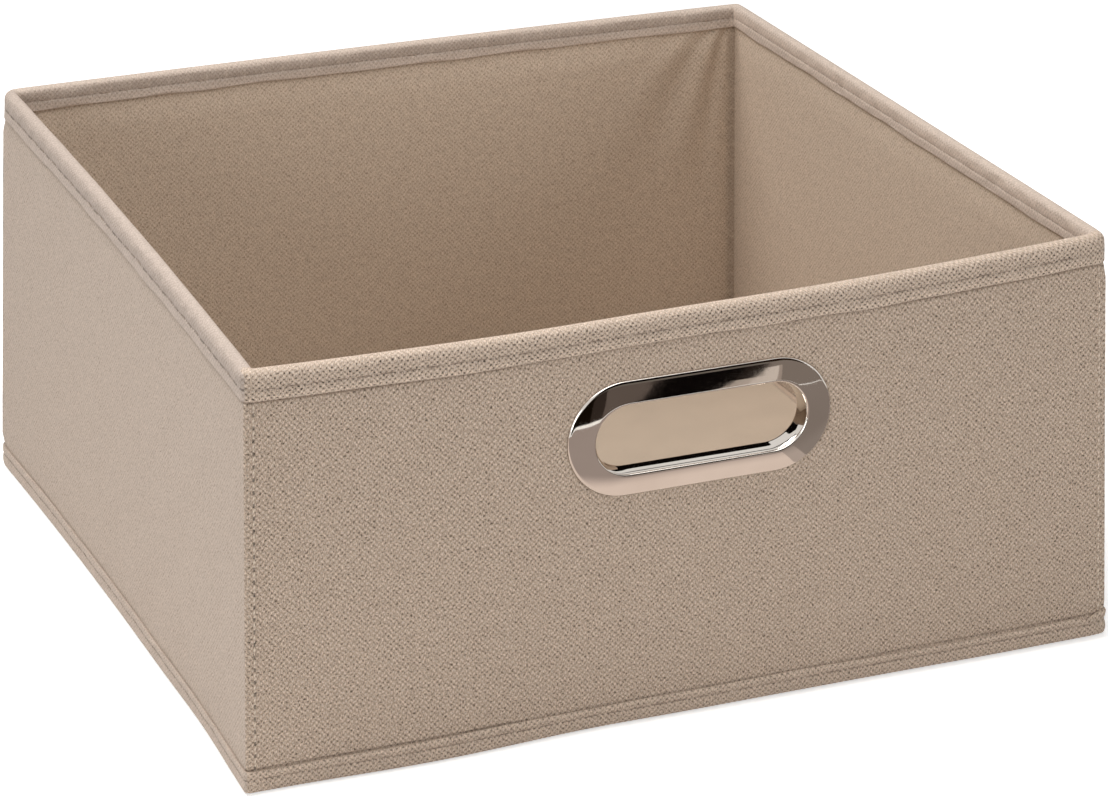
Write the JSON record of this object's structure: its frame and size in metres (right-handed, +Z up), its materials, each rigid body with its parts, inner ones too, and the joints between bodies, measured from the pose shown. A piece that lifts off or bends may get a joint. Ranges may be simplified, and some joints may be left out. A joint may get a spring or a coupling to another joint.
{
  "type": "storage box",
  "caption": "Open square shelf box with fabric-covered board walls, bound rim and foot, an oval metal finger grip in the front wall and a loose lift-out base panel.",
  "frame": {"origin": "middle of the square base, on the surface that the box stands on", "axes": "+Z up, +X to the right along the front wall seen from outside, the front wall with the grip faces -Y"},
  "size_m": [0.31, 0.3116, 0.15],
  "materials": {
    "embossed_fabric": "matte",
    "lining_fabric": "matte",
    "binding_tape": "matte",
    "base_fabric": "matte",
    "panel_fabric": "matte",
    "grey_board": "matte",
    "thread": "satin",
    "chrome": "polished"
  },
  "bodies": {
    "box": {"front_cover": "embossed_fabric", "front_board": "grey_board", "front_lining": "lining_fabric", "right_cover": "embossed_fabric", "right_board": "grey_board", "right_lining": "lining_fabric", "back_cover": "embossed_fabric", "back_board": "grey_board", "back_lining": "lining_fabric", "left_cover": "embossed_fabric", "left_board": "grey_board", "left_lining": "lining_fabric", "rim_binding": "binding_tape", "foot_binding": "binding_tape", "rim_stitching": "thread", "foot_stitching": "thread", "corner_stitching": "thread", "base_sheet": "base_fabric", "handle_ring": "chrome", "handle_backing_ring": "chrome"},
    "base_panel": {"base_panel_board": "grey_board", "base_panel_sleeve": "panel_fabric"}
  },
  "joints": [
    {"name": "base_panel_lift", "type": "slide", "parent": "box", "child": "base_panel", "axis": [0, 0, 1], "range_m": [0, 0.16]}
  ]
}
